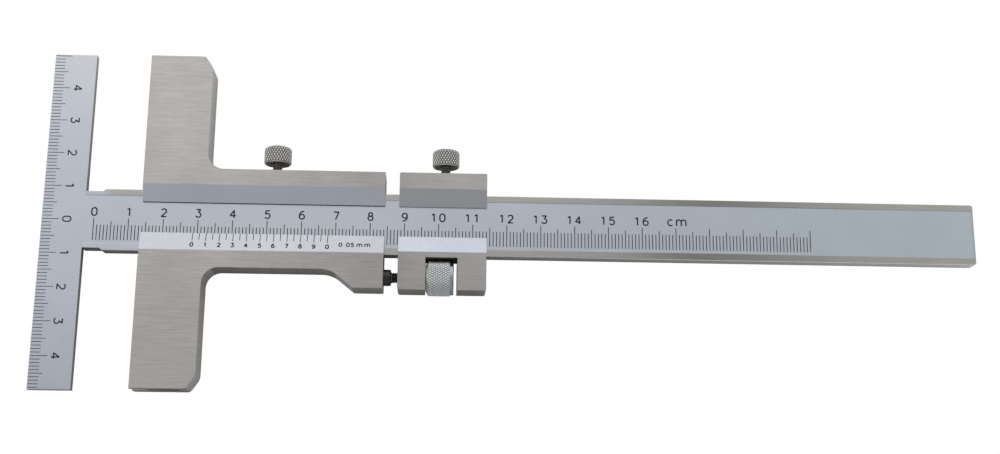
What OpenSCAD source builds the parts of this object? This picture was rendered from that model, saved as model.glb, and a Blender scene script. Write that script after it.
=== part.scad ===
// Marking caliper: a T-shaped beam with a slotted two-jaw slider and a fine-adjust clamp.
// The origin lies on the crossbar's outer edge, which is the marking edge, in the beam's middle line.
// X runs along the beam, Y along the crossbar, and Z out of the scale face.

/* [Crossbar] */
// Length of the marking edge
head_len = 100; // [70:1:140]
// Width of the crossbar along the beam
head_w = 12.2; // [9:0.1:13]
// Thickness of the crossbar
head_t = 2.5; // [2:0.1:2.7]
// How far the crossbar's middle lies above the beam's middle line
head_shift = 0.45; // [0:0.05:0.6]

/* [Beam] */
// Length over all, from the marking edge to the end of the blade
beam_len = 274.5; // [262:0.5:400]
// Width of the blade
beam_w = 18.3; // [16:0.1:20]
// Thickness of the blade
beam_t = 4.5; // [4.2:0.1:5]
// Width of the ground land above the scale
upper_land_w = 1.9; // [1.2:0.1:2.5]
// Width of the ground land below the scale
lower_land_w = 2.15; // [1.2:0.05:2.5]
// Height of the lands over the scale face
land_h = 0.12; // [0.05:0.01:0.3]
// Length of the relief beside the crossbar
relief_len = 4.9; // [3:0.1:8]
// Depth of the relief on each edge
relief_d = 0.65; // [0.2:0.05:1]
// Length of the ramp back to full width
relief_ramp = 0.8; // [0.5:0.1:2]
// Corner chamfer at the free end
end_chamfer = 0.6; // [0.2:0.1:2]

/* [Slider] */
// Distance set between the marking edge and the jaw faces
reading = 28.8; // [20:0.1:100]
// Length of the slider along the beam
slider_len = 70.4; // [68:0.1:90]
// Total thickness of the slider
slider_t = 8.6; // [8.2:0.1:10]
// Height of its front face over the scale face
front_rise = 2.2; // [1.9:0.1:2.6]
// Width of both jaws along the beam
jaw_w = 18.5; // [16:0.1:22]
// How much each jaw falls short of the crossbar's end
jaw_short = 0.4; // [0:0.1:4]
// Wall of the upper rail
upper_rail_w = 4.65; // [4:0.05:6]
// Wall of the lower rail
lower_rail_w = 4.9; // [4:0.05:5.25]
// Fillets between the jaws and the rails
jaw_fillet = 4.6; // [2:0.1:6]
// Depth of the slot that takes the crossbar
slot_d = 13.5; // [13.2:0.1:14.5]
// Jaw tip chamfer along the jaw's end
tip_chamfer_x = 2.6; // [1:0.1:4]
// Jaw tip chamfer along the jaw's side
tip_chamfer_y = 3.7; // [1:0.1:5]
// Rounding where the tip chamfer meets the side
tip_round = 3.5; // [1:0.1:5]
// Rounding where the lower jaw's tip chamfer meets its end
tip_end_round = 1.5; // [0.5:0.1:2.5]

/* [Window] */
// Upper lip's distance from the beam's middle line
upper_lip_y = 5.4; // [4.6:0.1:6]
// Lower lip's distance from the beam's middle line
lower_lip_y = 3.65; // [3:0.05:4.5]
// Thickness of both lips
lip_t = 0.25; // [0.15:0.05:0.5]
// Width of the slider's upper bevel
upper_bevel_w = 5.15; // [4:0.05:5.5]
// Width of the slider's lower bevel, which carries the vernier
lower_bevel_w = 5.35; // [4:0.05:6]
// Width of the clamp's lower bevel
clamp_bevel_w = 4.8; // [4:0.05:6]

/* [Boss] */
// Distance of the adjusting screw from the beam's middle line
screw_y = 15.5; // [15.4:0.1:17]
// Depth of the boss below the beam's middle line
boss_y = 19.5; // [19:0.1:22]
// Length of the boss's flat underside
boss_flat = 8.6; // [7:0.1:10]
// Slope of the boss's flank
boss_angle = 39; // [30:1:50]
// Fillet between the lower rail and the flank
boss_fillet = 8; // [3:0.5:10]
// Rounding between the flank and the boss's underside
flank_round = 1.2; // [0.4:0.1:3]

/* [Clamp] */
// Gap between the slider and the clamp
clamp_gap = 4.15; // [3.8:0.05:6]
// Length of the clamp along the beam
clamp_len = 25.7; // [24.5:0.05:30]
// Depth of the clamp below the beam's middle line
clamp_y = 19.7; // [19:0.1:22]
// Place of the nut window from the clamp's left face
nut_window_x = 8.05; // [7.5:0.05:9]
// Wall between the blade's channel and the nut window
nut_window_wall = 0.9; // [0.7:0.05:1.05]
// Corner rounding at the clamp's foot
clamp_foot_round = 0.7; // [0.3:0.1:2]

/* [Fine adjustment] */
// Diameter of the adjusting screw
screw_d = 3.1; // [2.4:0.1:3.2]
// Diameter of its collar
collar_d = 4.8; // [4:0.1:5.6]
// Length of its collar
collar_len = 2.2; // [1:0.1:2.2]
// Chamfer on the collar's free side
collar_chamfer = 0.3; // [0.1:0.05:0.8]
// Depth of the screw's seat in the boss
screw_seat = 10; // [5:0.5:14]
// How far the screw's end stays inside the nut
screw_short = 0.6; // [0.2:0.1:2]
// Diameter of the knurled nut
nut_d = 10.3; // [8:0.1:10.4]
// Length of the knurled nut
nut_len = 8.1; // [5:0.1:9]
// How far the nut's left face lies under its knurl
nut_cone_drop = 1.2; // [0.5:0.1:1.8]
// Length of the cone from that face to the knurl
nut_cone_len = 0.8; // [0.3:0.1:1.5]
// How far the smooth rim at the nut's right face lies under the knurl
nut_rim_drop = 0.3; // [0.1:0.05:0.6]
// Length of that rim
nut_rim_len = 1.1; // [0.3:0.1:1.5]

/* [Lock screws] */
// Diameter of both studs
stud_d = 2.9; // [2:0.1:3.4]
// Diameter of both knurled heads
knob_d = 8; // [6:0.1:9]
// Height of both knurled heads
knob_h = 5; // [4:0.1:8]
// Height of the heads over the upper rail
knob_rise = 2.75; // [1.5:0.05:5]
// Depth of the studs in their heads
knob_socket = 3.5; // [2:0.1:3.8]
// Rounding at the head's top edge
knob_round = 0.9; // [0.3:0.1:1.5]
// Chamfer at the head's lower edge
knob_chamfer = 0.35; // [0.1:0.05:0.8]
// Slider's lock screw, from the jaw faces
slider_lock_x = 38.25; // [34:0.25:44]
// Clamp's lock screw, from the clamp's left face
clamp_lock_x = 13.5; // [8:0.25:16]

/* [Gibs] */
// Thickness of both gib strips
gib_t = 1.5; // [1:0.1:2]
// Wall that closes the clamp's gib pocket at each end
gib_end_wall = 1.5; // [1:0.1:3]
// Diameter of the gib screws
gib_screw_d = 2.4; // [1.6:0.1:3]
// Place of the gib screws from the jaw's side and from the slider's end
gib_screw_inset = 8.5; // [6:0.5:10]
// Diameter of their tips
gib_tip_d = 1.4; // [1:0.1:1.5]
// Depth of their tips in the gib
gib_tip_depth = 0.5; // [0.3:0.1:0.6]
// How far they sit below the rail's top
gib_screw_sink = 0.4; // [0:0.1:1]
// Width of their driver slots
gib_slot_w = 0.5; // [0.3:0.1:0.7]
// Depth of their driver slots
gib_slot_d = 0.6; // [0.4:0.1:1]

/* [Clearances] */
// Sliding clearance at each face of the blade and of the gibs
slide_clear = 0.05; // [0.03:0.01:0.08]
// Clearance at each face of the crossbar in its slot
slot_clear = 0.1; // [0.05:0.01:0.2]
// Radial clearance of every screw in its hole
thread_clear = 0.05; // [0.02:0.01:0.08]
// Clearance at the nut's left face in its window
nut_side_clear = 0.1; // [0.05:0.05:0.4]
// Free play at the nut's right face in its window
nut_play = 0.9; // [0.3:0.05:1.2]

/* [Hidden] */
$fn = 64;
// How far each cut runs past the solid that it cuts
over = 1;
// Straight steps that make up each rounded corner of an outline
arc_steps = 10;
// Small rounding of the corners that are only broken by hand
hand_round = 0.4;

// Levels, from the crossbar's middle plane
face_z = head_t / 2;
land_z = face_z + land_h;
beam_back_z = land_z - beam_t;
lip_under_z = land_z + slide_clear;
lip_top_z = lip_under_z + lip_t;
front_z = face_z + front_rise;
back_z = front_z - slider_t;
channel_back_z = beam_back_z - slide_clear;
axis_z = (front_z + back_z) / 2;

// Walls across the beam
beam_half = beam_w / 2;
channel_low = -beam_half - slide_clear;
gib_low = beam_half + slide_clear;
gib_high = gib_low + gib_t;
channel_high = gib_high + slide_clear;
rail_top = channel_high + upper_rail_w;
rail_bottom = channel_low - lower_rail_w;
nut_window_top = channel_low - nut_window_wall;

// Places along the beam
slider_x = reading;
slider_end = slider_x + slider_len;
clamp_x = slider_end + clamp_gap;
clamp_end = clamp_x + clamp_len;
nut_window_left = clamp_x + nut_window_x;
nut_window_w = nut_side_clear + nut_len + nut_play;
nut_x = nut_window_left + nut_side_clear;
screw_end = nut_x + nut_len - screw_short;
gib_screw_xs = [slider_x + jaw_w + gib_screw_inset, slider_end - gib_screw_inset];

// Reach of the crossbar and of the jaws, above and below the beam's middle line
head_top = head_len / 2 + head_shift;
head_bottom = head_len / 2 - head_shift;
upper_reach = head_top - jaw_short;
lower_reach = head_bottom - jaw_short;

// Places of the screws
stud_hole_r = stud_d / 2 + thread_clear;
screw_hole_r = screw_d / 2 + thread_clear;
knob_bottom = rail_top + knob_rise;
stud_tip = gib_high + slide_clear;

// A point without its radius, and a direction or a turned copy of a vector
function flat2(p) = [p.x, p.y];
function unit(v) = v / norm(v);
function turned(v, a) = [v.x * cos(a) - v.y * sin(a), v.x * sin(a) + v.y * cos(a)];
// One corner of an outline: p, q and n are the points before, at and after it, as [x, y, radius]
function corner_arc(p, q, n) =
    let (
        to_p = unit(flat2(p) - flat2(q)),
        to_n = unit(flat2(n) - flat2(q)),
        half = acos(to_p * to_n) / 2,
        centre = flat2(q) + unit(to_p + to_n) * q.z / sin(half),
        start = flat2(q) + to_p * q.z / tan(half) - centre,
        side = sign(to_p.y * to_n.x - to_p.x * to_n.y),
        sweep = side * (180 - 2 * half)
    )
    [for (i = [0 : arc_steps]) centre + turned(start, sweep * i / arc_steps)];
// A closed outline whose corners are rounded by the radius that each point carries
function rounded(points) =
    let (count = len(points))
    [
        for (i = [0 : count - 1])
            let (p = points[(i + count - 1) % count], q = points[i], n = points[(i + 1) % count])
            each (q.z > 0 ? corner_arc(p, q, n) : [flat2(q)])
    ];

module plate(points, low, high) {
    translate([0, 0, low]) linear_extrude(high - low) polygon(rounded(points));
}

// A box from its two opposite corners
module block(low, high) {
    translate(low) cube(high - low);
}

module bar_x(x, y, z, r, length) {
    translate([x, y, z]) rotate([0, 90, 0]) cylinder(r = r, h = length);
}

module bar_y(x, y, z, r, length) {
    translate([x, y, z]) rotate([-90, 0, 0]) cylinder(r = r, h = length);
}

// The blade's plan, with the relief beside the crossbar and chamfers at the free end
module beam() {
    relief_half = beam_half - relief_d;
    relief_end = head_w + relief_len;
    ramp_end = relief_end + relief_ramp;
    chamfer_x = beam_len - end_chamfer;
    chamfer_y = beam_half - end_chamfer;
    color("silver") difference() {
        union() {
            block([0, -head_bottom, -face_z], [head_w, head_top, face_z]);
            plate([
                [head_w, -relief_half, 0], [relief_end, -relief_half, 0], [ramp_end, -beam_half, 0],
                [chamfer_x, -beam_half, 0], [beam_len, -chamfer_y, 0],
                [beam_len, chamfer_y, 0], [chamfer_x, beam_half, 0],
                [ramp_end, beam_half, 0], [relief_end, relief_half, 0], [head_w, relief_half, 0]
            ], beam_back_z, land_z);
        }
        // The scale face lies between the two lands, level with the crossbar
        block([head_w - over, lower_land_w - beam_half, face_z],
              [beam_len + over, beam_half - upper_land_w, land_z + over]);
    }
}

// The open window over the scale, with a bevel that rises from each lip to the front face
module window_cut(x, length, low_bevel, high_bevel) {
    translate([x - over, 0, 0]) rotate([90, 0, 90]) linear_extrude(length + 2 * over) polygon([
        [-lower_lip_y, lip_under_z - over], [upper_lip_y, lip_under_z - over],
        [upper_lip_y, lip_top_z], [upper_lip_y + high_bevel, front_z],
        [upper_lip_y + high_bevel, front_z + over], [-lower_lip_y - low_bevel, front_z + over],
        [-lower_lip_y - low_bevel, front_z], [-lower_lip_y, lip_top_z]
    ]);
}

// The channel that the blade runs in
module channel_cut(x, length, high) {
    block([x - over, channel_low, channel_back_z], [x + length + over, high, lip_under_z]);
}

module lock_hole(x) {
    bar_y(x, beam_half, axis_z, stud_hole_r, rail_top - beam_half + over);
}

module slider_body() {
    jaw_side = slider_x + jaw_w;
    flank_drop = boss_y + rail_bottom;
    flank_end = slider_end - boss_flat;
    flank_start = flank_end - flank_drop / tan(boss_angle);
    color("darkgray") difference() {
        plate([
            [slider_x, -lower_reach, 0],
            [jaw_side - tip_chamfer_x, -lower_reach, tip_end_round],
            [jaw_side, tip_chamfer_y - lower_reach, tip_round],
            [jaw_side, rail_bottom, jaw_fillet],
            [flank_start, rail_bottom, boss_fillet],
            [flank_end, -boss_y, flank_round],
            [slider_end, -boss_y, hand_round],
            [slider_end, rail_top, hand_round],
            [jaw_side, rail_top, jaw_fillet],
            [jaw_side, upper_reach - tip_chamfer_y, tip_round],
            [jaw_side - tip_chamfer_x, upper_reach, hand_round],
            [slider_x, upper_reach, 0]
        ], back_z, front_z);
        channel_cut(slider_x, slider_len, channel_high);
        window_cut(slider_x, slider_len, lower_bevel_w, upper_bevel_w);
        // The jaws swallow the crossbar, so that the faces meet the marking edge at zero
        block([slider_x - over, -lower_reach - over, -face_z - slot_clear],
              [slider_x + slot_d, upper_reach + over, face_z + slot_clear]);
        lock_hole(slider_x + slider_lock_x);
        for (x = gib_screw_xs)
            bar_y(x, beam_half, axis_z, gib_screw_d / 2 + thread_clear, rail_top - beam_half + over);
        bar_x(slider_end - screw_seat - thread_clear, -screw_y, axis_z, screw_hole_r, screw_seat + over);
    }
}

// A strip over the blade's upper edge, as thick as the room between the edge and the rail
module gib_strip(x_low, x_high) {
    block([x_low, gib_low, channel_back_z + slide_clear], [x_high, gib_high, lip_under_z - slide_clear]);
}

// The strip stops short of the slot, which takes the crossbar at zero
module slider_gib() {
    color("goldenrod") difference() {
        gib_strip(slider_x + slot_d + slide_clear, slider_end - slide_clear);
        for (x = gib_screw_xs)
            bar_y(x, gib_high - gib_tip_depth - thread_clear, axis_z, gib_tip_d / 2 + thread_clear, gib_t);
    }
}

module slider_gib_screws() {
    screw_top = rail_top - gib_screw_sink;
    color("dimgray") for (x = gib_screw_xs) difference() {
        union() {
            bar_y(x, stud_tip, axis_z, gib_screw_d / 2, screw_top - stud_tip);
            bar_y(x, gib_high - gib_tip_depth, axis_z, gib_tip_d / 2, stud_tip - gib_high + gib_tip_depth);
        }
        block([x - gib_slot_w / 2, screw_top - gib_slot_d, axis_z - gib_screw_d],
              [x + gib_slot_w / 2, screw_top + over, axis_z + gib_screw_d]);
    }
}

// A stud whose tip presses on the gib and whose top sits in the knurled head
module lock_stud(x) {
    color("gray") bar_y(x, stud_tip, axis_z, stud_d / 2, knob_bottom + knob_socket - stud_tip);
}

module slider_lock_stud() {
    lock_stud(slider_x + slider_lock_x);
}

module clamp_lock_stud() {
    lock_stud(clamp_x + clamp_lock_x);
}

// A turned head with a socket for its stud; the diamond knurl is left to the surface
module lock_head(x) {
    r = knob_d / 2;
    socket_r = stud_d / 2 + thread_clear;
    socket_top = knob_socket + thread_clear;
    color("dimgray") translate([x, knob_bottom, axis_z]) rotate([-90, 0, 0]) difference() {
        rotate_extrude() polygon(rounded([
            [0, 0, 0], [r - knob_chamfer, 0, 0], [r, knob_chamfer, 0], [r, knob_h, knob_round], [0, knob_h, 0]
        ]));
        translate([0, 0, -over]) cylinder(r = socket_r, h = socket_top + over);
    }
}

module slider_lock_head() {
    lock_head(slider_x + slider_lock_x);
}

module clamp_lock_head() {
    lock_head(clamp_x + clamp_lock_x);
}

module clamp_body() {
    color("darkgray") difference() {
        plate([
            [clamp_x, -clamp_y, clamp_foot_round], [clamp_end, -clamp_y, clamp_foot_round],
            [clamp_end, rail_top, hand_round], [clamp_x, rail_top, hand_round]
        ], back_z, front_z);
        channel_cut(clamp_x, clamp_len, gib_low);
        window_cut(clamp_x, clamp_len, clamp_bevel_w, upper_bevel_w);
        // The gib's pocket is closed at both ends, so that the strip travels with the clamp
        block([clamp_x + gib_end_wall, beam_half, channel_back_z],
              [clamp_end - gib_end_wall, channel_high, lip_under_z]);
        block([nut_window_left, -clamp_y - over, back_z - over],
              [nut_window_left + nut_window_w, nut_window_top, front_z + over]);
        lock_hole(clamp_x + clamp_lock_x);
        bar_x(clamp_x - over, -screw_y, axis_z, screw_hole_r, clamp_len + 2 * over);
    }
}

module clamp_gib() {
    color("goldenrod")
        gib_strip(clamp_x + gib_end_wall + slide_clear, clamp_end - gib_end_wall - slide_clear);
}

// A rod fixed in the slider's boss, with a collar that seats on the boss; it ends inside the nut
module adjusting_screw() {
    r = screw_d / 2;
    collar_r = collar_d / 2;
    rod_end = screw_end - slider_end;
    color("#26262a") translate([slider_end, -screw_y, axis_z]) rotate([0, 90, 0]) rotate_extrude() polygon([
        [0, -screw_seat], [r, -screw_seat], [r, 0], [collar_r, 0],
        [collar_r, collar_len - collar_chamfer], [collar_r - collar_chamfer, collar_len],
        [r, collar_len], [r, rod_end], [0, rod_end]
    ]);
}

// The nut that draws the slider along the rod while the clamp is locked. A cone on its left and a
// rim on its right are plain, and the band between them is knurled.
module adjusting_nut() {
    r = nut_d / 2;
    face_r = r - nut_cone_drop;
    rim_r = r - nut_rim_drop;
    rim_start = nut_len - nut_rim_len;
    bore_r = screw_d / 2 + thread_clear;
    color("lightgray") translate([nut_x, -screw_y, axis_z]) rotate([0, 90, 0]) difference() {
        rotate_extrude() polygon([
            [0, 0], [face_r, 0], [r, nut_cone_len],
            [r, rim_start], [rim_r, rim_start], [rim_r, nut_len], [0, nut_len]
        ]);
        translate([0, 0, -over]) cylinder(r = bore_r, h = nut_len + 2 * over);
    }
}

beam();
slider_body();
slider_gib();
slider_gib_screws();
slider_lock_stud();
slider_lock_head();
clamp_body();
clamp_gib();
clamp_lock_stud();
clamp_lock_head();
adjusting_screw();
adjusting_nut();
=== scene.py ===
import math

import bmesh
import bpy
from mathutils import Matrix, Vector


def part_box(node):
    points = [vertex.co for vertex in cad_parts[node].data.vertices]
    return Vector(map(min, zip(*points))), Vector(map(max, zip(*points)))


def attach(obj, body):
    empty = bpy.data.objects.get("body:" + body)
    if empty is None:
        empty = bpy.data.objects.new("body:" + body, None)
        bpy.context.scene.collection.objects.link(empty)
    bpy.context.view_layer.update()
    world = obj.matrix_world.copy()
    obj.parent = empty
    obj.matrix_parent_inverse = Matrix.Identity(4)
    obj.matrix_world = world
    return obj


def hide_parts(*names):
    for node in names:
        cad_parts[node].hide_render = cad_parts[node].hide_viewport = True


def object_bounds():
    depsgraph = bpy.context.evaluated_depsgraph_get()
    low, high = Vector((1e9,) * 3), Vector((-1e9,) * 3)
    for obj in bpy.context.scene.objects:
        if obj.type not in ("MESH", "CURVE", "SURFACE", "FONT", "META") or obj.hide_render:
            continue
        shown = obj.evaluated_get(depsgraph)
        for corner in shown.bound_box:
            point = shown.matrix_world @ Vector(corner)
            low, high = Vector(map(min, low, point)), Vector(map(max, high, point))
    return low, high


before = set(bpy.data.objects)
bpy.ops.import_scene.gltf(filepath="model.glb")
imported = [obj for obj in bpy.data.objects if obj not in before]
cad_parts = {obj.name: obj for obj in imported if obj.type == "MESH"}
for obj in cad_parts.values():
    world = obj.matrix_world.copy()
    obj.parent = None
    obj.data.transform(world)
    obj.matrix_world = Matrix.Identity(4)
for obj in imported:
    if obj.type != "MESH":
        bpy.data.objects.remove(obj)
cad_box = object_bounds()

# Camera. It stands 0.39 m over the scale face, on the user's side of the blade, as the
# photographer did. Its place, turn and lens were worked out from the object's own millimetre
# marks, which lie in one plane.
MM = 0.001
camera_data = bpy.data.cameras.new("photo_camera")
camera_data.sensor_width = 36
camera_data.lens = 49.606
camera_data.clip_start = 10 * MM
camera = bpy.data.objects.new("photo_camera", camera_data)
bpy.context.scene.collection.objects.link(camera)
camera_place = (0.116114, -0.095973, 0.394132)
camera_right = Vector((0.998966, 0.007694, 0.044797))
camera_up = Vector((-0.018076, 0.971528, 0.236235))
camera_turn = Matrix((camera_right, camera_up, camera_right.cross(camera_up))).transposed()
camera.matrix_world = Matrix.Translation(camera_place) @ camera_turn.to_4x4()
bpy.context.scene.camera = camera
bpy.context.scene.view_settings.view_transform = "Standard"


# Beam. One T-shaped piece of hardened steel: a 100 mm crossbar and an 18.3 mm blade. The scale
# face is satin chromed, the two lands beside it are ground bright, and the narrow sides are
# milled. Its edges are only broken by hand.
def linear(code):
    """The linear colour of an sRGB hex code."""
    shares = [int(code[i:i + 2], 16) / 255 for i in (0, 2, 4)]
    return (*[c / 12.92 if c <= 0.04045 else ((c + 0.055) / 1.055) ** 2.4 for c in shares], 1)


def add(finish, kind, options, inputs):
    """Adds one node to a finish, with its options, its values and its links."""
    made = finish.node_tree.nodes.new("ShaderNode" + kind)
    for option, value in options.items():
        setattr(made, option, value)
    for socket, value in inputs.items():
        if isinstance(value, bpy.types.NodeSocket):
            finish.node_tree.links.new(value, made.inputs[socket])
        else:
            made.inputs[socket].default_value = value
    return made


# A Mix node shares its socket names between colours and numbers. These are the colour sockets.
share, first_colour, second_colour, mixed_colour = 0, 6, 7, 2


def steel_finish(name, bright, dull, grain, roughness, relief, drifts=()):
    """A worked metal surface. grain is the length of its marks along X, Y and Z, and soft clouds
    14 mm across stand for handling. Each drift is an axis, two places on it in millimetres, and
    the code of a tint. The colour is multiplied by the tint, not at all at the first place and
    fully from the second one on."""
    finish = bpy.data.materials.new(name)
    finish.use_nodes = True
    finish.node_tree.nodes.clear()
    place = add(finish, "TexCoord", {}, {}).outputs["Object"]
    along = add(finish, "Mapping", {}, {
        "Vector": place, "Scale": [1 / length for length in grain]})
    marks = add(finish, "TexNoise", {}, {
        "Vector": along.outputs[0], "Scale": 1, "Detail": 3, "Roughness": 0.6}).outputs[0]
    clouds = add(finish, "TexNoise", {}, {
        "Vector": place, "Scale": 1 / (14 * MM), "Detail": 2}).outputs[0]
    wear = add(finish, "Math", {"operation": "MULTIPLY_ADD"}, {0: clouds, 1: 0.45, 2: -0.22})
    tone = add(finish, "Math", {"operation": "ADD", "use_clamp": True}, {
        0: marks, 1: wear.outputs[0]})
    colour = add(finish, "Mix", {"data_type": "RGBA"}, {
        share: tone.outputs[0], first_colour: linear(bright), second_colour: linear(dull)})
    for axis, start, end, tint in drifts:
        spot = add(finish, "SeparateXYZ", {}, {0: place}).outputs[axis]
        reached = add(finish, "MapRange", {}, {
            "Value": spot, "From Min": start * MM, "From Max": end * MM})
        colour = add(finish, "Mix", {"data_type": "RGBA", "blend_type": "MULTIPLY"}, {
            share: reached.outputs[0], first_colour: colour.outputs[mixed_colour],
            second_colour: linear(tint)})
    rough = add(finish, "MapRange", {}, {
        "Value": marks, "From Min": 0.25, "From Max": 0.75,
        "To Min": roughness[0], "To Max": roughness[1]})
    bump = add(finish, "Bump", {}, {"Strength": 1, "Distance": relief, "Height": marks})
    surface = add(finish, "BsdfPrincipled", {}, {
        "Base Color": colour.outputs[mixed_colour], "Metallic": 1,
        "Roughness": rough.outputs[0], "Normal": bump.outputs[0]})
    add(finish, "OutputMaterial", {}, {"Surface": surface.outputs[0]})
    return finish


def pick(piece):
    """Makes one piece the only one selected."""
    bpy.ops.object.select_all(action="DESELECT")
    bpy.context.view_layer.objects.active = piece
    piece.select_set(True)


def machined_body(name, node, breaks):
    """A closed copy of a CAD solid. breaks are pairs of a test for edges and the size of their
    break in millimetres."""
    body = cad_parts[node].copy()
    body.data = body.data.copy()
    body.name = body.data.name = name
    # The frame's own marks on a CAD node don't belong on the copy.
    for key in list(body.keys()):
        del body[key]
    bpy.context.scene.collection.objects.link(body)
    body.parent = None
    pick(body)
    bpy.ops.object.mode_set(mode="EDIT")
    bpy.ops.mesh.select_mode(type="EDGE")
    bpy.ops.mesh.select_all(action="SELECT")
    bpy.ops.mesh.remove_doubles(threshold=0.001 * MM)
    bpy.ops.mesh.dissolve_limited(angle_limit=math.radians(0.5))
    for broken, size in breaks:
        bpy.ops.mesh.select_all(action="DESELECT")
        work = bmesh.from_edit_mesh(body.data)
        for edge in work.edges:
            sharp = len(edge.link_faces) == 2 and edge.calc_face_angle() > math.radians(50)
            edge.select = sharp and broken(*[v.co / MM for v in edge.verts])
        bmesh.update_edit_mesh(body.data)
        bpy.ops.mesh.bevel(offset=size * MM, segments=2, affect="EDGES", clamp_overlap=False)
    bpy.ops.object.mode_set(mode="OBJECT")
    bpy.ops.object.shade_smooth_by_angle(angle=math.radians(20))
    level = body.modifiers.new("level_faces", "WEIGHTED_NORMAL")
    level.keep_sharp = True
    bpy.ops.object.modifier_apply(modifier=level.name)
    return body


def dress(piece, finishes, choose):
    """Gives each face the finish whose number choose() returns for its middle, in millimetres, and
    its normal."""
    piece.data.materials.clear()
    for finish in finishes:
        piece.data.materials.append(finish)
    for face in piece.data.polygons:
        face.material_index = choose(face.center / MM, face.normal)


# Satin chrome is plated over a blasted face. It is pale blue-grey and mirrors nothing sharply. Its
# grain is drawn 0.4 mm wide, coarser than the blasting, so that it shows.
even_grain = (0.4 * MM, 0.4 * MM, 0.4 * MM)
# The chrome's colour carries painted light and shade: paler and warmer at the crossbar's upper end,
# darker towards its lower end and at the blade's free end. Past 150 mm along the blade it turns
# slightly greener.
satin_chrome = steel_finish(
    "satin_chrome_plate", "DCE0E5", "C4C8CD", even_grain, roughness=(0.34, 0.42),
    relief=0.001 * MM, drifts=[("X", 150, 240, "F8FFFA"), ("X", 273.5, 274.1, "F0F2F0"),
                               ("Y", -20, -50, "F3F3F3"), ("Y", 50, 25, "F4F5FD")])

# Ground steel mirrors the sky along fine scratches that run with the blade. They are drawn
# 0.3 mm apart, coarser than the grinding wheel's, so that they show. Each land turns a little
# warmer 20 to 30 mm from the marking edge.
ground_grain = (7 * MM, 0.3 * MM, 0.3 * MM)
upper_land = steel_finish(
    "ground_upper_land", "C9CDD8", "B5B9C1", ground_grain, roughness=(0.12, 0.2), relief=0.002 * MM,
    drifts=[("X", 17, 20, "EFEAD9")])
lower_land = steel_finish(
    "ground_lower_land", "D6D9E5", "C0C5CD", ground_grain, roughness=(0.12, 0.2), relief=0.002 * MM,
    drifts=[("X", 28, 31, "E2DDCF")])

# Milled steel keeps the cutter's marks, here upright lines across the thickness, drawn coarser too.
# The narrow sides are painted darker towards the crossbar, and from 22 mm above the middle line
# downwards, as painted shade.
# The lower land's broken edges are real, but their near-white colour is a painted highlight; on
# the outer edge it fades out towards the crossbar.
milled_sides = steel_finish(
    "milled_blade_sides", "FFFEFB", "EAE9E6", (0.5 * MM, 0.5 * MM, 30 * MM), roughness=(0.3, 0.42),
    relief=0.004 * MM,
    drifts=[("X", 260, 130, "CCCCCA"), ("X", 70, 30, "E5E3DD"), ("Y", 22, 10, "E5E5E4")])
highlighted_land_edge = steel_finish(
    "land_edge_painted_highlight", "FFFFFF", "F0F1F3", even_grain, roughness=(0.4, 0.5), relief=0.001 * MM,
    drifts=[("X", 175, 150, "CCCFD5")])
highlighted_step_edge = steel_finish(
    "polished_step_edge_painted_highlight", "FFFFFF", "F4F5F7", even_grain, roughness=(0.2, 0.3), relief=0.001 * MM)

hand_break, land_break = 0.14, 0.11
land_height = 0.12
scale_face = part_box("beam")[1].z / MM - land_height
crossbar_end = 13
land_near, land_middle, land_far = 6, 8, 10


def land_edge(a, b):
    """True on the long inner edges of the two lands."""
    high = min(a.z, b.z) > scale_face + 0.1
    return high and (a - b).length > 100 and abs(a.y) < land_middle


def beam_outline(a, b):
    """True on the other level edges of the beam, but not where the scale face meets the lands."""
    level = (a - b).length > 1 and abs(a.z - b.z) < 0.01
    free = abs(a.z - scale_face) > 0.01 or max(a.x, b.x) < crossbar_end
    return level and free and not land_edge(a, b)


def beam_face(c, n):
    """0 on the scale face and on broken edges, 1 and 2 on the two lands, 3 on the narrow sides,
    4 and 5 on the outer and the inner broken edge of the lower land."""
    if n.z < 0.3:
        return 3
    if n.z < 0.97 and abs(n.y) > 0.2 and -land_far < c.y < -land_near:
        return 4 if n.y < 0 else 5
    if n.z < 0.9 or c.z < scale_face + 0.05:
        return 0
    return 1 if c.y > 0 else 2


beam_body = machined_body("beam_body", "beam", [
    (beam_outline, hand_break), (land_edge, land_break)])
beam_finishes = [satin_chrome, upper_land, lower_land, milled_sides, highlighted_land_edge, highlighted_step_edge]
dress(beam_body, beam_finishes, beam_face)
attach(beam_body, "beam")
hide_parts("beam")


# Main scale. Millimetre marks from 0 to 210 and the numerals 0 to 16 with the unit are cut into the
# scale face and filled with a dark matt paint. Each mark is a thin bar of filling 0.24 mm wide, and
# each numeral is cut 0.41 mm wide, as an engraving cutter leaves it.
def filling(name, code):
    """Dull dark paint in an engraved line, a little uneven."""
    finish = bpy.data.materials.new(name)
    finish.use_nodes = True
    finish.node_tree.nodes.clear()
    place = add(finish, "TexCoord", {}, {}).outputs["Object"]
    uneven = add(finish, "TexNoise", {}, {
        "Vector": place, "Scale": 1 / (0.6 * MM), "Detail": 2}).outputs[0]
    colour = add(finish, "Mix", {"data_type": "RGBA"}, {
        share: uneven, first_colour: linear(code), second_colour: linear("1A1C21")})
    bump = add(finish, "Bump", {}, {"Strength": 0.5, "Distance": 0.004 * MM, "Height": uneven})
    surface = add(finish, "BsdfPrincipled", {}, {
        "Base Color": colour.outputs[mixed_colour], "Roughness": 0.7, "Normal": bump.outputs[0]})
    add(finish, "OutputMaterial", {}, {"Surface": surface.outputs[0]})
    return finish


def merged(pieces):
    """One piece from many. It keeps the first one's place."""
    bpy.ops.object.select_all(action="DESELECT")
    for piece in pieces:
        piece.select_set(True)
    bpy.context.view_layer.objects.active = pieces[0]
    bpy.ops.object.join()
    return pieces[0]


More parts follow.
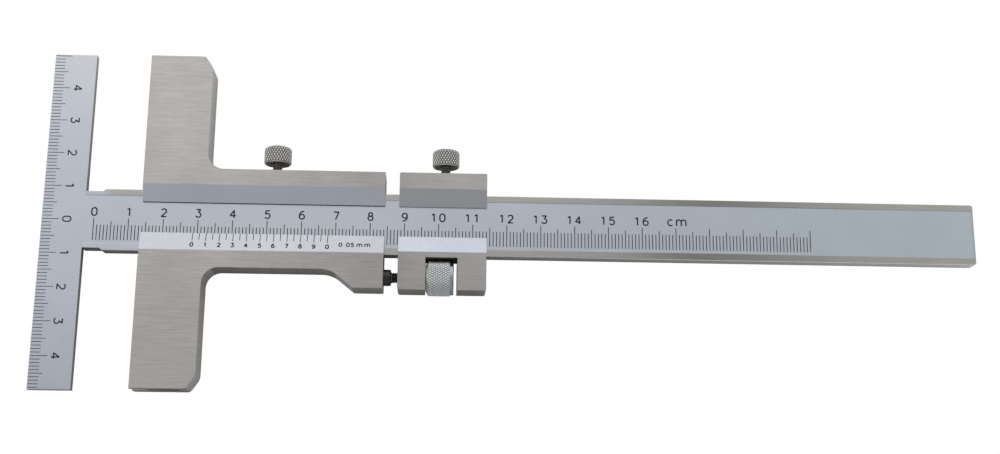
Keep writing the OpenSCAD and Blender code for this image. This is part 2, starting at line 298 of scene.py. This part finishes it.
def joined(pieces, name, finish, body):
    """One piece from many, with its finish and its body."""
    whole = merged(pieces)
    whole.name = whole.data.name = name
    whole.data.materials.clear()
    whole.data.materials.append(finish)
    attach(whole, body)


def bar(low, high):
    """A thin closed bar of filling between two corners, in millimetres."""
    low, high = Vector(low), Vector(high)
    bpy.ops.mesh.primitive_cube_add(size=MM, location=(low + high) / 2 * MM)
    made = bpy.context.active_object
    made.scale = high - low
    bpy.ops.object.transform_apply(location=True, rotation=True, scale=True)
    return made


def repeated(pieces, step, count):
    """Copies of a group at equal steps, as a graduating machine cuts them."""
    row = merged(pieces)
    array = row.modifiers.new("graduating", "ARRAY")
    array.use_relative_offset = False
    array.use_constant_offset = True
    array.constant_offset_displace = step
    array.count = count
    bpy.ops.object.modifier_apply(modifier=array.name)
    return row


def arc(x, y, rx, ry, start, end):
    """Points on an arc of a stroke, in shares of the numeral's height."""
    parts = 12
    turns = [math.radians(start + (end - start) * i / parts) for i in range(parts + 1)]
    return [(x + rx * math.cos(turn), y + ry * math.sin(turn)) for turn in turns]


def stroke_shares(sign):
    """The strokes of a numeral or letter, in shares of its height, about its middle line."""
    bowl = arc(0, 0.31, 0.32, 0.31, 90, 450)
    six = [arc(0.14, 0.35, 0.46, 0.65, 180, 74), bowl]
    upper_half, lower_half = arc(0, 0.66, 0.32, 0.34, 0, 180), arc(0, 0.34, 0.32, 0.34, 180, 360)
    return {
        "0": [upper_half + lower_half + [(0.32, 0.66)]],
        "1": [[(-0.22, 0.83), (0.06, 1), (0.06, 0)]],
        "2": [arc(0, 0.71, 0.31, 0.29, 160, -38) + [(-0.32, 0), (0.34, 0)]],
        "3": [[(-0.3, 1), (0.27, 1), (-0.03, 0.6)] + arc(-0.02, 0.31, 0.33, 0.31, 80, -155)],
        "4": [[(0.14, 0), (0.14, 1), (-0.35, 0.28), (0.36, 0.28)]],
        "5": [[(0.28, 1), (-0.22, 1), (-0.26, 0.54)] + arc(-0.01, 0.33, 0.32, 0.33, 130, -150)],
        "6": six,
        "7": [[(-0.32, 1), (0.32, 1), (-0.08, 0)]],
        "8": [arc(0, 0.77, 0.25, 0.23, 90, 450), arc(0, 0.27, 0.32, 0.27, 90, 450)],
        "9": [[(-x, 1 - y) for x, y in stroke] for stroke in six],
        "c": [arc(0, 0.4, 0.35, 0.4, 48, 312)],
        "m": [[(-0.6, 0), (-0.6, 0.8)], arc(-0.3, 0.5, 0.3, 0.3, 180, 0) + [(0, 0)],
              arc(0.3, 0.5, 0.3, 0.3, 180, 0) + [(0.6, 0)]],
        ".": [[(0, 0), (0, 0.06)]],
    }[sign]


def cuts(stroke):
    """A stroke divided at its sharp corners, where the cutter is lifted and set down again."""
    points = [Vector(point) for point in stroke]
    sharp = math.radians(40)
    corners = [i for i in range(1, len(points) - 1)
               if (points[i] - points[i - 1]).angle(points[i + 1] - points[i]) > sharp]
    ends = [0, *corners, len(points) - 1]
    return [stroke[start:end + 1] for start, end in zip(ends, ends[1:])]


sign_thickness = 0.012 * MM


def engraved(sign, height, width):
    """One engraved sign of round stroke, pressed flat to the filling's thickness."""
    path = bpy.data.curves.new("stroke", "CURVE")
    path.dimensions = "3D"
    path.bevel_depth = width / 2
    path.bevel_resolution = 1
    path.use_fill_caps = True
    for stroke in [cut for whole in stroke_shares(sign) for cut in cuts(whole)]:
        closed = len(stroke) > 3 and (Vector(stroke[0]) - Vector(stroke[-1])).length < 0.001
        points = stroke[:-1] if closed else stroke
        line = path.splines.new("POLY")
        line.points.add(len(points) - 1)
        line.use_cyclic_u = closed
        for point, (x, y) in zip(line.points, points):
            point.co = (x * height, y * height, 0, 1)
    made = bpy.data.objects.new("stroke", path)
    bpy.context.scene.collection.objects.link(made)
    pick(made)
    bpy.ops.object.convert(target="MESH")
    made.data.transform(Matrix.Diagonal((1, 1, sign_thickness / width, 1)))
    return made


def lettered(text, height, width, places, turn):
    """Engraved signs at their places, each sign cut once and copied."""
    masters = {sign: engraved(sign, height, width) for sign in sorted(set(text))}
    signs = []
    for sign, place in zip(text, places):
        copy = masters[sign].copy()
        copy.data = masters[sign].data.copy()
        copy.data.transform(Matrix.Translation(Vector(place) * MM) @ turn)
        bpy.context.scene.collection.objects.link(copy)
        signs.append(copy)
    for master in masters.values():
        bpy.data.objects.remove(master)
    return signs


dark_filling = filling("dark_scale_filling", "0A0B0E")
fill_depth = 0.01
fill_low, fill_high = scale_face - fill_depth, scale_face + 0.005
scale_zero = 15
mark_foot, millimetre_top, five_top, ten_top = -6.1, -1.6, -0.55, 0.4


def main_mark(millimetre, top):
    """A mark across the scale face, at a number of millimetres on the scale."""
    x, half = scale_zero + millimetre, 0.12
    return bar((x - half, mark_foot, fill_low), (x + half, top, fill_high))


centimetre = [main_mark(i, ten_top if i == 0 else five_top if i == 5 else millimetre_top)
              for i in range(10)]
marks = repeated(centimetre, (10 * MM, 0, 0), 21)
last_mark = main_mark(210, ten_top)
joined([marks, last_mark], "main_scale_marks", dark_filling, "beam")

numeral_foot = 1.17
one_digit, two_digits = [0], [-1.5, 1.05]
unit_places = (183.45, 186.64)
signs, places = "", []
for number in range(17):
    signs += str(number)
    places += [(scale_zero + 10 * number + spot, numeral_foot, scale_face)
               for spot in (one_digit if number < 10 else two_digits)]
signs += "cm"
places += [(x, numeral_foot, scale_face) for x in unit_places]
numerals = lettered(signs, 2.3 * MM, 0.41 * MM, places, Matrix.Identity(4))
joined(numerals, "main_scale_numerals", dark_filling, "beam")


# Crossbar scale. Cut and filled as the main scale is, with marks 0.19 mm wide along the marking
# edge. 50 lie above the beam's middle line and 49 below, since the crossbar reaches 0.45 mm
# further above. The numerals 0 to 4 are read from the end of the blade.
mark_start, millimetre_reach, five_reach, ten_reach = 0.12, 3, 4.05, 5


def crossbar_mark(millimetre, reach):
    """A mark from beside the marking edge inwards, at a number of millimetres on the scale."""
    half = 0.095
    return bar((mark_start, millimetre - half, fill_low), (reach, millimetre + half, fill_high))


between_tens = [crossbar_mark(i, five_reach if i == -45 else millimetre_reach)
                for i in range(-49, -40)]
marks = repeated(between_tens, (0, 10 * MM, 0), 10)
tens = repeated([crossbar_mark(-40, ten_reach)], (0, 10 * MM, 0), 9)
end_mark = crossbar_mark(50, ten_reach)
joined([marks, tens, end_mark], "crossbar_scale_marks", dark_filling, "beam")

numeral_foot = 6.07
places = [(numeral_foot, 10 * step, scale_face) for step in range(-4, 5)]
quarter_turn = Matrix.Rotation(math.radians(-90), 4, "Z")
numerals = lettered("432101234", 2.36 * MM, 0.38 * MM, places, quarter_turn)
joined(numerals, "crossbar_scale_numerals", dark_filling, "beam")


# Slider. One milled block of stainless steel with two cross jaws. Its front and back are ground
# along the beam, and the two bevels beside the window are satin chromed. The milled sides show
# the cutter's marks across the thickness.
slider_grain = (6 * MM, 0.3 * MM, 0.3 * MM)
cutter_grain = (0.6 * MM, 0.6 * MM, 40 * MM)
lip_grain = (0.6 * MM, 0.6 * MM, 0.6 * MM)
slider_low, slider_high = [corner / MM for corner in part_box("slider_body")]

# Stainless steel is warmer and greyer than the chrome. Ground, it has fine streaks along the
# beam. Milled, it is streaked upright; its ends are painted brighter than its long sides, as
# painted light and shade. The lip's edge is painted near black, as painted shade under the lip.
# All streaks are drawn coarser than they are.
# The ground faces are painted darker towards the slider's right end and on its lower jaw, as
# painted shade.
ground_face = steel_finish(
    "ground_slider_faces", "D4D0CD", "A5A2A0", slider_grain, roughness=(0.3, 0.4),
    relief=0.002 * MM, drifts=[("X", 50, 95, "EBEBEC"), ("Y", 10, -10, "FBFBFB")])
shaded_milled_sides = steel_finish(
    "milled_slider_sides_painted_shade", "BDB9B1", "8E8A83", cutter_grain, roughness=(0.34, 0.46),
    relief=0.005 * MM)
lit_milled_ends = steel_finish(
    "milled_slider_ends_painted_light", "EFEDE9", "BDBBB7", cutter_grain, roughness=(0.3, 0.42),
    relief=0.005 * MM)
# Painted shade: the lip's edge and the right wall of the nut's window are coloured near black.
shaded_lip = steel_finish(
    "lip_edge_painted_shade", "4A4A4C", "2C2C2E", lip_grain, roughness=(0.4, 0.5), relief=0.003 * MM)
vernier_chrome = steel_finish(
    "satin_chrome_vernier_bevel", "CDCFD6", "B7B9C0", even_grain, roughness=(0.34, 0.42),
    relief=0.001 * MM)
lip_y, lip_z = (5.3, 5.5), (1.6, 1.75)


def outline_edge(a, b):
    """True on the outline edges of a block's front and back."""
    flat = abs(a.z - b.z) < 0.01
    return flat and (a.z > slider_high.z - 0.01 or a.z < slider_low.z + 0.01)


def upper_lip(a, b):
    """True on the long edge where the upper bevel meets its lip."""
    in_plan = min(a.y, b.y) > lip_y[0] and max(a.y, b.y) < lip_y[1]
    return in_plan and min(a.z, b.z) > lip_z[0] and max(a.z, b.z) < lip_z[1]


def block_face(c, n):
    """0 on ground faces, 1 and 2 on the upper and the lower bevel, 3 on milled sides, 4 on milled
    ends, 5 on the lip. The ground faces are the front and the back."""
    skin = 0.3
    if n.y < -0.5 and lip_y[0] < c.y < lip_y[1] + 0.1:
        return 5
    if abs(n.z) > 0.98 and (c.z > slider_high.z - skin or c.z < slider_low.z + skin):
        return 0
    if 0.9 < n.z < 0.98 and c.z < slider_high.z - skin:
        return 1 if c.y > 0 else 2
    return 4 if abs(n.x) > 0.5 else 3


slider_block = machined_body("slider_block", "slider_body", [
    (outline_edge, hand_break), (upper_lip, 0.12)])
slider_finishes = [ground_face, satin_chrome, vernier_chrome, shaded_milled_sides, lit_milled_ends,
                   shaded_lip]
dress(slider_block, slider_finishes, block_face)
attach(slider_block, "slider")
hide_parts("slider_body")


# Vernier. 20 divisions of 1.95 mm are cut into the slider's lower bevel, with numerals under every
# second mark and the reading of 0.05 mm beside them. The bevel rises 1.78 mm over 5.35 mm.
bevel_rise, bevel_run = 1.78, 5.35
bevel_lean = math.atan2(bevel_rise, bevel_run)
bevel_turn = Matrix.Rotation(-bevel_lean, 4, "X")
lip_corner = Vector((0, -3.65, 1.67))
division = 1.95
vernier_zero = slider_low.x + scale_zero


def on_bevel(x, y):
    """A place on the lower bevel from its X and its Y in the flat plan."""
    return (x, y, lip_corner.z + (lip_corner.y - y) * bevel_rise / bevel_run)


def vernier_mark(number):
    """A mark down the bevel from its lip, a little longer where it has a numeral."""
    half, end = 0.1, -6.19 if number % 2 == 0 else -5.76
    foot = (end - lip_corner.y) / math.cos(bevel_lean)
    line = bar((-half, foot, -fill_depth), (half, -0.02, 0.006))
    top = on_bevel(vernier_zero + division * number, lip_corner.y)
    line.data.transform(Matrix.Translation(Vector(top) * MM) @ bevel_turn)
    return line


divisions = [vernier_mark(number) for number in range(21)]
joined(divisions, "vernier_marks", dark_filling, "slider")

numeral_foot, unit_foot = -7.95, -7.2
unit_places = (86.6, 87.8, 88.8, 90.05, 92.15, 94.4)
places = [on_bevel(vernier_zero + 2 * division * i, numeral_foot) for i in range(11)]
numerals = lettered("01234567890", 1.25 * MM, 0.34 * MM, places, bevel_turn)
places = [on_bevel(x, unit_foot) for x in unit_places]
numerals += lettered("0.05mm", 1.2 * MM, 0.31 * MM, places, bevel_turn)
joined(numerals, "vernier_numerals", dark_filling, "slider")


# Gibs and gib screws. Two brass strips fill the room over the blade's upper edge, and two slotted
# set screws in the upper rail press on the slider's strip. All are plain, so the CAD shapes stay.
# Drawing leaves fine lines along the brass, here 0.25 mm apart, and the screws are dull and dark.
drawn_brass = steel_finish(
    "drawn_brass_strip", "C9A25E", "A98345", (12 * MM, 0.25 * MM, 0.25 * MM),
    roughness=(0.26, 0.38), relief=0.002 * MM)
turned_grain = (0.3 * MM, 0.3 * MM, 0.3 * MM)
set_screw_steel = steel_finish(
    "blackened_set_screws", "6E6D6B", "4A4948", turned_grain, roughness=(0.36, 0.5),
    relief=0.003 * MM)
for node, finish in (("slider_gib", drawn_brass), ("clamp_gib", drawn_brass),
                     ("slider_gib_screws", set_screw_steel)):
    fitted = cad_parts[node]
    fitted.data.materials.clear()
    fitted.data.materials.append(finish)


# Lock screw of the slider. A turned stainless steel head, 8 mm across and 5 mm high, is diamond
# knurled and screwed onto an M3 stud that runs down through the upper rail. The head's top edge
# is rounded, and its underside is faced flat.
groove_depth = 0.3


def turned(name, outline, axis, centre, columns, step, skin, relief):
    """A turned closed piece. outline gives radius and place along the axis, in millimetres as all
    its sizes are. Outside the radius skin it is cut by relief, which is kept as the attribute
    groove too: 0 on the ridges and 1 at the groove's full depth."""
    rows = []
    for (r0, l0), (r1, l1) in zip(outline, outline[1:]):
        parts = max(1, math.ceil(math.hypot(r1 - r0, l1 - l0) / step)) if min(r0, r1) > skin else 1
        rows += [(r0 + (r1 - r0) * i / parts, l0 + (l1 - l0) * i / parts) for i in range(parts)]
    rows.append(outline[-1])
    profile = bpy.data.meshes.new(name)
    points = [(radius * MM, 0, along * MM) for radius, along in rows]
    profile.from_pydata(points, [(i, i + 1) for i in range(len(rows) - 1)], [])
    piece = bpy.data.objects.new(name, profile)
    bpy.context.scene.collection.objects.link(piece)
    pick(piece)
    bpy.ops.object.mode_set(mode="EDIT")
    bpy.ops.mesh.select_all(action="SELECT")
    bpy.ops.mesh.spin(steps=columns, angle=math.tau, center=(0, 0, 0), axis=(0, 0, 1))
    bpy.ops.mesh.select_all(action="SELECT")
    bpy.ops.mesh.remove_doubles(threshold=0.002 * MM)
    bpy.ops.mesh.normals_make_consistent(inside=False)
    bpy.ops.object.mode_set(mode="OBJECT")
    groove = piece.data.attributes.new("groove", "FLOAT", "POINT")
    for vertex, mark in zip(piece.data.vertices, groove.data):
        x, y, z = vertex.co / MM
        radius = math.hypot(x, y)
        if radius > skin:
            cut = relief(math.atan2(y, x) / math.tau, z, radius)
            mark.value = cut / groove_depth
            vertex.co.x *= 1 - cut / radius
            vertex.co.y *= 1 - cut / radius
    lay = Vector((0, 0, 1)).rotation_difference(Vector(axis)).to_matrix().to_4x4()
    piece.data.transform(Matrix.Translation(Vector(centre) * MM) @ lay)
    pick(piece)
    bpy.ops.object.shade_smooth_by_angle(angle=math.radians(24))
    return piece


def ridge(x, flat=0):
    """A wave of straight flanks for each whole x: 1 in a groove and 0 on a ridge. flat is the
    share of the ridge's top."""
    return max(0, abs(2 * (x - math.floor(x)) - 1) - flat) / (1 - flat)


def diamonds(turn, along, count, pitch, flat):
    """A diamond knurl: two sets of grooves that cross, count of them round the piece."""
    return max(ridge(count * turn + along / pitch, flat), ridge(count * turn - along / pitch, flat))


def rising(place, start, length):
    """0 up to start, and 1 from a length further on."""
    return min(1, max(0, (place - start) / length))


def knurled_finish(name, bright, dull, groove_shade_code, roughness):
    """A pressed knurl: bright worn ridges over rough grooves, whose colour is painted dark as
    shade.
    It reads the piece's groove.
    """
    finish = steel_finish(name, bright, dull, turned_grain, roughness, 0.002 * MM)
    surface = finish.node_tree.nodes["Principled BSDF"]
    worn = surface.inputs["Base Color"].links[0].from_socket
    polish = surface.inputs["Roughness"].links[0].from_socket
    groove = add(finish, "Attribute", {"attribute_name": "groove"}, {}).outputs["Fac"]
    depth = add(finish, "MapRange", {}, {
        "Value": groove, "From Min": 0.1, "From Max": 0.55}).outputs[0]
    # Painted shade: the colour darkens towards the bottom of each groove.
    colour = add(finish, "Mix", {"data_type": "RGBA"}, {
        share: depth, first_colour: worn, second_colour: linear(groove_shade_code)})
    rough = add(finish, "Math", {"operation": "MULTIPLY_ADD", "use_clamp": True}, {
        0: depth, 1: 0.3, 2: polish})
    finish.node_tree.links.new(colour.outputs[mixed_colour], surface.inputs["Base Color"])
    finish.node_tree.links.new(rough.outputs[0], surface.inputs["Roughness"])
    return finish


# Knurled steel glitters on its ridges, and is painted dark between them as shade. The underside
# is faced flat, and its colour is painted darker as shade under the head.
knurled_head_steel = knurled_finish(
    "diamond_knurled_steel", "E2E0DA", "CCCAC5", "4A4944", roughness=(0.24, 0.34))
shaded_head_underside = steel_finish(
    "head_underside_painted_shade", "7C7B77", "4C4B48", (0.8 * MM, 0.8 * MM, 0.8 * MM),
    roughness=(0.3, 0.5), relief=0.003 * MM)
head_low, head_high = [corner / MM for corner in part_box("slider_lock_head")]
head_axis = (head_low + head_high) / 2
head_r, head_tall, crown_r, foot_break = 4, 5, 0.9, 0.35
bore_r, bore_deep = 1.5, 3.6
crown_turns = [math.radians(degrees) for degrees in range(0, 91, 15)]
crown = [(head_r - crown_r + crown_r * math.cos(turn),
          head_tall - crown_r + crown_r * math.sin(turn)) for turn in crown_turns]
head_outline = [(0, bore_deep), (bore_r, bore_deep), (bore_r, 0), (head_r - foot_break, 0),
                (head_r, foot_break), *crown, (0, head_tall)]


def head_knurl(turn, along, radius):
    """29 diamonds round the head, 1.4 mm tall, fading out where the crown turns in."""
    band = rising(radius, 3.3, 0.3) * rising(along, 0.05, 0.25)
    return 0.2 * band * diamonds(turn, along, count=29, pitch=1.4, flat=0.42)


slider_head = turned("slider_lock_knob", head_outline, (0, 1, 0),
                     (head_axis.x, head_low.y, head_axis.z), columns=290, step=0.1,
                     skin=3.25, relief=head_knurl)
dress(slider_head, [knurled_head_steel, shaded_head_underside], lambda c, n: 1 if n.y < -0.9 else 0)
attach(slider_head, "slider_head")
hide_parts("slider_lock_head")

# Turned screw steel is mid grey, with a soft shine on the thread's crests.
stud_steel = steel_finish(
    "turned_screw_steel", "A6A49F", "7C7A76", turned_grain, roughness=(0.3, 0.42),
    relief=0.003 * MM)
thread_pitch = 0.5
stud_low, stud_high = [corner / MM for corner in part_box("slider_lock_stud")]
stud_long = stud_high.y - stud_low.y
stud_r, thread_end = 1.45, 7
stud_outline = [(0, 0), (1.1, 0), (stud_r, 0.35), (stud_r, stud_long - 0.2), (1.25, stud_long),
                (0, stud_long)]


def stud_thread(turn, along, radius):
    """A right-hand M3 thread, 0.5 mm from turn to turn, up to the neck under the head."""
    band = rising(radius, 1.3, 0.15) if along < thread_end else 0
    return 0.3 * band * ridge(along / thread_pitch - turn)


slider_stud = turned("slider_lock_threads", stud_outline, (0, 1, 0),
                     (head_axis.x, stud_low.y, head_axis.z), columns=40, step=0.06,
                     skin=1.2, relief=stud_thread)
slider_stud.data.materials.append(stud_steel)
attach(slider_stud, "slider_stud")
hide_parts("slider_lock_stud")


# Clamp. The short carriage of the fine adjustment, milled and ground as the slider is, with the
# window for its nut between two legs.
# The ground faces are painted darker towards the clamp's lower legs and its left end, as painted
# shade.
clamp_face = steel_finish(
    "ground_clamp_faces", "C9C6C3", "A4A29F", slider_grain, roughness=(0.3, 0.4), relief=0.002 * MM,
    drifts=[("Y", 12, -13, "F8F8F8"), ("X", 116, 104, "EFEFEF")])
clamp_chrome = steel_finish(
    "satin_chrome_clamp_bevel", "C5C7CD", "B2B4BA", even_grain, roughness=(0.34, 0.42),
    relief=0.001 * MM)
window_right, legs_top = 119, -10


def clamp_block_face(c, n):
    """As on the slider, and 6 on the right wall of the nut's window, which is painted dark as
    shade.
    """
    in_window = n.x < -0.3 and c.x > window_right and c.y < legs_top
    return 6 if in_window else block_face(c, n)


clamp_block = machined_body("clamp_block", "clamp_body", [(outline_edge, hand_break)])
clamp_finishes = [clamp_face, clamp_chrome, satin_chrome, shaded_milled_sides, lit_milled_ends, shaded_milled_sides,
                  shaded_lip]
dress(clamp_block, clamp_finishes, clamp_block_face)
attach(clamp_block, "clamp")
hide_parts("clamp_body")


# Lock screw of the clamp. The same knurled head and M3 stud as the slider's, turned from stainless
# steel. It stands in the clamp's upper rail and presses on the clamp's own strip.
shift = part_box("clamp_lock_head")[0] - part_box("slider_lock_head")[0]
for source, name, node, body in (
        (slider_head, "clamp_lock_knob", "clamp_lock_head", "clamp_head"),
        (slider_stud, "clamp_lock_threads", "clamp_lock_stud", "clamp_stud")):
    copy = bpy.data.objects.new(name, source.data.copy())
    copy.data.name = name
    copy.data.transform(Matrix.Translation(shift))
    bpy.context.scene.collection.objects.link(copy)
    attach(copy, body)
    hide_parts(node)


# Adjusting screw. A blackened M3 rod fixed in the slider's boss, with a chamfered collar that
# seats on the boss. Black oxide looks nearly black and still shines like the steel under it, and
# the collar is a little darker than the thread.
black_oxide = steel_finish(
    "black_oxide_steel", "605F5D", "3E3D3B", even_grain, roughness=(0.2, 0.34), relief=0.003 * MM,
    drifts=[("X", 101.5, 101.3, "D0D0D0")])
rod_low, rod_high = [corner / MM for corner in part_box("adjusting_screw")]
rod_axis = (rod_low + rod_high) / 2
rod_long = rod_high.x - rod_low.x
seat = slider_high.x - rod_low.x
rod_r, collar_r, rod_break = 1.55, 2.4, 0.3
collar_end = seat + 2.2
rod_outline = [(0, 0), (rod_r, 0), (rod_r, seat), (collar_r, seat),
               (collar_r, collar_end - rod_break), (collar_r - rod_break, collar_end),
               (rod_r, collar_end), (rod_r, rod_long - rod_break),
               (rod_r - rod_break, rod_long), (0, rod_long)]


def rod_thread(turn, along, radius):
    """A right-hand M3 thread from the collar to the rod's end."""
    threaded = along > collar_end + 0.3 and radius < 1.6
    band = rising(radius, 1.4, 0.15) if threaded else 0
    return 0.24 * band * ridge(along / thread_pitch - turn)


adjusting_rod = turned("fine_adjusting_screw", rod_outline, (1, 0, 0),
                       (rod_low.x, rod_axis.y, rod_axis.z), columns=40, step=0.06,
                       skin=1.3, relief=rod_thread)
adjusting_rod.data.materials.append(black_oxide)
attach(adjusting_rod, "slider")
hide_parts("adjusting_screw")


# Adjusting nut. A finely knurled nut, 10.3 mm across and 8.1 mm long, that sits captive in the
# clamp's window and turns on the adjusting screw. The cone on its left and the rim on its right are
# turned smooth. The knurl sparkles, and its grooves are painted dark as shade. The rim is a soft
# mirror. The cone is matt, and its pale colour is a painted highlight.
knurled_nut_steel = knurled_finish(
    "knurled_nut_band", "F0F2F2", "D8DCDE", "54585C", roughness=(0.24, 0.34))
smooth_nut_steel = steel_finish(
    "turned_nut_rim", "BCC0C0", "949898", turned_grain, roughness=(0.18, 0.3), relief=0.002 * MM)
matt_nut_cone_painted_light = steel_finish(
    "matt_nut_cone_painted_highlight", "F4F6F6", "C8CCCC", turned_grain, roughness=(0.45, 0.6),
    relief=0.003 * MM)
nut_low, nut_high = [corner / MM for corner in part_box("adjusting_nut")]
nut_axis = (nut_low + nut_high) / 2
nut_long = nut_high.x - nut_low.x
nut_bore_r, cone_r, band_r, rim_r, band_foot = 1.6, 3.95, 5.15, 4.85, 4.97
cone_long = 0.8
rim = nut_long - 1.1
nut_outline = [(nut_bore_r, 0), (cone_r, 0), (band_r, cone_long), (band_r, rim - 0.15), (5, rim),
               (rim_r, rim), (rim_r, nut_long - 0.25), (4.6, nut_long), (nut_bore_r, nut_long),
               (nut_bore_r, 0)]


def nut_knurl(turn, along, radius):
    """42 diamonds round the nut, 1.3 mm long, on the band between the cone and the rim."""
    band = rising(radius, band_foot, 0.15)
    return 0.16 * band * diamonds(turn, along, count=42, pitch=1.3, flat=0.45)


def nut_face(c, n):
    """0 on the cone, 1 on the knurled band, 2 on the rim."""
    along = c.x - nut_low.x
    return 0 if along < cone_long else 1 if along < rim else 2


adjusting_nut = turned("fine_adjusting_nut", nut_outline, (1, 0, 0),
                       (nut_low.x, nut_axis.y, nut_axis.z), columns=420, step=0.1,
                       skin=band_foot, relief=nut_knurl)
dress(adjusting_nut, [matt_nut_cone_painted_light, knurled_nut_steel, smooth_nut_steel], nut_face)
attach(adjusting_nut, "nut")
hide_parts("adjusting_nut")


# Table and light. The camera sees a plain white table. The metal mirrors a second, matt one, which
# carries the object's soft shadow. The light is one large soft sky, brightest behind the crossbar's
# upper end and dim on the user's side.
def lay_table(name, kind, colour, seen):
    """A 4 m table top just under the object, either seen by the camera or by the metal only."""
    table_z = cad_box[0].z - 0.01 * MM
    bpy.ops.mesh.primitive_plane_add(size=4000 * MM, location=(0, 0, table_z))
    table = bpy.context.active_object
    table.name = name
    paint = bpy.data.materials.new(name)
    paint.use_nodes = True
    paint.node_tree.nodes.clear()
    surface = add(paint, kind, {}, {"Color": colour(paint)})
    add(paint, "OutputMaterial", {}, {"Surface": surface.outputs[0]})
    table.data.materials.append(paint)
    table.visible_camera = seen
    table.visible_glossy = table.visible_diffuse = table.visible_shadow = not seen


def white(paint):
    """The same white all over."""
    return linear("FFFFFF")


def paler_far_off(paint):
    """A grey that is paler towards the blade's free end and on the far side of the blade, as
    painted light and shade in what the metal mirrors.
    """
    place = add(paint, "TexCoord", {}, {}).outputs["Object"]
    spot = add(paint, "SeparateXYZ", {}, {0: place}).outputs
    free_end = add(paint, "MapRange", {}, {
        "Value": spot["X"], "From Min": 150 * MM, "From Max": 250 * MM,
        "To Min": 0, "To Max": 0.25})
    far_side = add(paint, "MapRange", {}, {
        "Value": spot["Y"], "From Min": -20 * MM, "From Max": 20 * MM,
        "To Min": 0.56, "To Max": 0.75})
    grey = add(paint, "Math", {"operation": "ADD"}, {
        0: free_end.outputs[0], 1: far_side.outputs[0]})
    return grey.outputs[0]


lay_table("white_table", "Emission", white, True)
lay_table("mirrored_table", "BsdfDiffuse", paler_far_off, False)

sky = bpy.data.worlds.new("soft_sky")
bpy.context.scene.world = sky
sky.use_nodes = True
sky.node_tree.nodes.clear()
direction = add(sky, "TexCoord", {}, {}).outputs["Generated"]
direction_parts = add(sky, "SeparateXYZ", {}, {0: direction}).outputs


def sky_levels(axis, steps):
    """The sky's brightness across one axis. Each step is a place, 0 to 1 from one side of the sky
    to the other, and the level there."""
    across = add(sky, "MapRange", {}, {
        "Value": direction_parts[axis], "From Min": -1, "From Max": 1})
    ramp = add(sky, "ValToRGB", {}, {0: across.outputs[0]})
    while len(ramp.color_ramp.elements) < len(steps):
        ramp.color_ramp.elements.new(0.5)
    for element, (position, level) in zip(ramp.color_ramp.elements, steps):
        element.position = position
        element.color = (level, level, level, 1)
    return ramp.outputs[0]


user_to_far = sky_levels("Y", (
    (0, 0.4), (0.29, 0.36), (0.56, 0.41), (0.6, 0.5), (0.62, 0.55), (0.67, 0.73), (0.89, 0.89)))
# The lands mirror the dark strip in the middle of this one, about 175 mm along the blade.
left_to_right = sky_levels("X", (
    (0.2, 1), (0.35, 0.9), (0.52, 0.81), (0.57, 0.79), (0.583, 0.22), (0.605, 0.22), (0.62, 0.7),
    (0.645, 0.75), (0.67, 0.83), (0.8, 0.82)))
level = add(sky, "Math", {"operation": "MULTIPLY"}, {0: user_to_far, 1: left_to_right})
sky_strength = 1.63
light = add(sky, "Background", {}, {"Color": level.outputs[0], "Strength": sky_strength})
add(sky, "OutputWorld", {}, {"Surface": light.outputs[0]})
